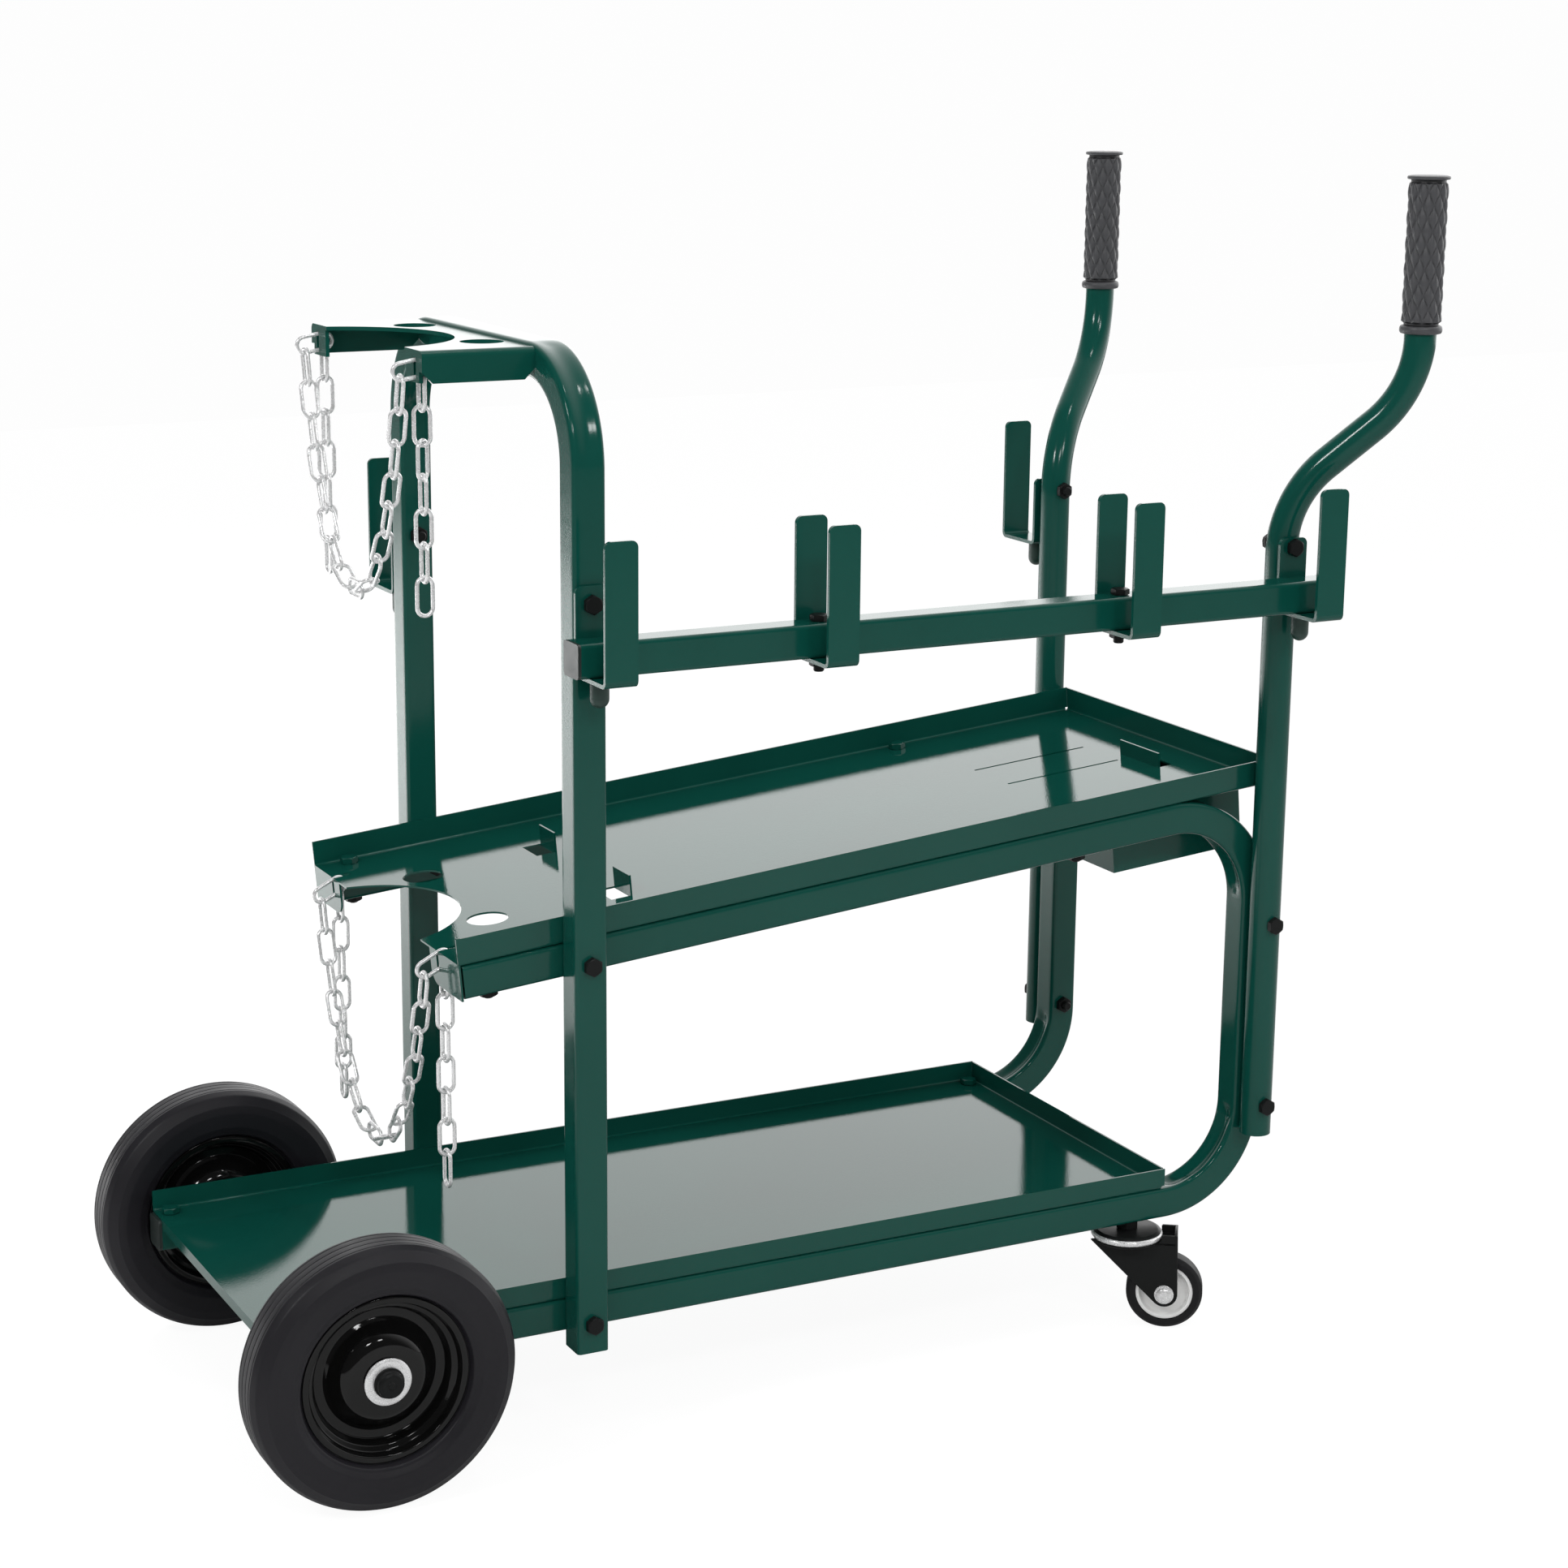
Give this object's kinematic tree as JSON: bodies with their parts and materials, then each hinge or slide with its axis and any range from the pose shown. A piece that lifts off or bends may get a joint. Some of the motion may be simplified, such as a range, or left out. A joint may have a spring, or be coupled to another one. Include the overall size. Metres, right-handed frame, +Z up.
{
  "type": "welding cart",
  "caption": "Cylinder and machine cart with bent tube side frames, two trays, a hoop with chains, two handles, cable hangers, large wheels on an axle and swivel casters.",
  "frame": {"origin": "on the ground, under the middle of the overall length and width", "axes": "+X along the cart from the large wheels to the handles, +Y to the side without the hook rail, +Z up"},
  "size_m": [0.9746, 0.489, 0.9398],
  "materials": {
    "frame_paint": "gloss deep bottle green",
    "tray_paint": "gloss green, mirror-like",
    "hanger_paint": "gloss green",
    "cap_plastic": "dark gloss",
    "grip": "matt, knurled",
    "peg": "satin dark green",
    "black_steel": "black bolts",
    "zinc": "bright zinc plate",
    "tyre": "matt charcoal",
    "rim": "gloss black",
    "caster_tread": "matt",
    "caster_core": "pale"
  },
  "bodies": {
    "frame": {"near_side_frame": "frame_paint", "far_side_frame": "frame_paint", "frame_end_caps": "cap_plastic", "hoop": "frame_paint", "hoop_saddle": "frame_paint", "lower_tray": "tray_paint", "upper_tray": "tray_paint", "cable_box": "frame_paint", "near_handle": "frame_paint", "far_handle": "frame_paint", "near_grip": "grip", "far_grip": "grip", "hook_rail": "frame_paint", "hook_rail_caps": "cap_plastic", "near_front_hanger": "hanger_paint", "near_rear_hanger": "hanger_paint", "first_rail_hanger": "hanger_paint", "second_rail_hanger": "hanger_paint", "far_front_hanger": "hanger_paint", "far_rear_hanger": "hanger_paint", "hanger_pegs": "peg", "axle": "zinc", "axle_spacers": "cap_plastic", "axle_washers": "zinc", "axle_caps": "black_steel", "caster_raceways": "zinc", "caster_stems": "black_steel", "hoop_bolts": "black_steel", "handle_bolts": "black_steel", "hanger_bolts": "black_steel", "hook_rail_bolts": "black_steel", "upper_tray_bolts": "black_steel", "lower_tray_screws": "black_steel", "captive_links": "zinc"},
    "near_wheel": {"near_tyre": "tyre", "near_rim": "rim"},
    "far_wheel": {"far_tyre": "tyre", "far_rim": "rim"},
    "near_swivel": {"near_yoke": "black_steel", "near_caster_bolt": "zinc"},
    "near_caster": {"near_caster_tread": "caster_tread", "near_caster_core": "caster_core"},
    "far_swivel": {"far_yoke": "black_steel", "far_caster_bolt": "zinc"},
    "far_caster": {"far_caster_tread": "caster_tread", "far_caster_core": "caster_core"},
    "hoop_loop": {"hoop_chain": "zinc"},
    "hoop_near_tail": {"hoop_chain_near_end": "zinc"},
    "hoop_far_tail": {"hoop_chain_far_end": "zinc"},
    "tray_loop": {"tray_chain": "zinc"},
    "tray_near_tail": {"tray_chain_near_end": "zinc"},
    "tray_far_tail": {"tray_chain_far_end": "zinc"}
  },
  "joints": [
    {"name": "near_wheel_spin", "type": "hinge", "parent": "frame", "child": "near_wheel", "pos_m": [-0.38575, -0.1873, 0.1016], "axis": [0, 1, 0], "continuous": true},
    {"name": "far_wheel_spin", "type": "hinge", "parent": "frame", "child": "far_wheel", "pos_m": [-0.38575, 0.1873, 0.1016], "axis": [0, 1, 0], "continuous": true},
    {"name": "near_caster_swivel", "type": "hinge", "parent": "frame", "child": "near_swivel", "pos_m": [0.28625, -0.1433, 0.0635], "axis": [0, 0, 1], "continuous": true},
    {"name": "near_caster_spin", "type": "hinge", "parent": "near_swivel", "child": "near_caster", "pos_m": [0.31287, -0.16194, 0.03175], "axis": [0.5736, 0.8192, 0], "continuous": true},
    {"name": "far_caster_swivel", "type": "hinge", "parent": "frame", "child": "far_swivel", "pos_m": [0.28625, 0.1433, 0.0635], "axis": [0, 0, 1], "continuous": true},
    {"name": "far_caster_spin", "type": "hinge", "parent": "far_swivel", "child": "far_caster", "pos_m": [0.31287, 0.16194, 0.03175], "axis": [-0.5736, 0.8192, 0], "continuous": true},
    {"name": "hoop_chain_swing", "type": "hinge", "parent": "frame", "child": "hoop_loop", "pos_m": [-0.32236, 0, 0.80811], "axis": [0, 1, 0], "range_deg": [0, 60]},
    {"name": "tray_chain_swing", "type": "hinge", "parent": "frame", "child": "tray_loop", "pos_m": [-0.31654, 0, 0.37293], "axis": [0, 1, 0], "range_deg": [0, 60]},
    {"name": "hoop_near_tail_swing", "type": "hinge", "parent": "frame", "child": "hoop_near_tail", "pos_m": [-0.30695, -0.102, 0.80749], "axis": [1, 0, 0], "range_deg": [-20, 20]},
    {"name": "hoop_far_tail_swing", "type": "hinge", "parent": "frame", "child": "hoop_far_tail", "pos_m": [-0.30695, 0.102, 0.80749], "axis": [1, 0, 0], "range_deg": [-20, 20]},
    {"name": "tray_near_tail_swing", "type": "hinge", "parent": "frame", "child": "tray_near_tail", "pos_m": [-0.30118, -0.113, 0.37677], "axis": [1, 0, 0], "range_deg": [-20, 20]},
    {"name": "tray_far_tail_swing", "type": "hinge", "parent": "frame", "child": "tray_far_tail", "pos_m": [-0.30118, 0.113, 0.37677], "axis": [1, 0, 0], "range_deg": [-20, 20]}
  ]
}
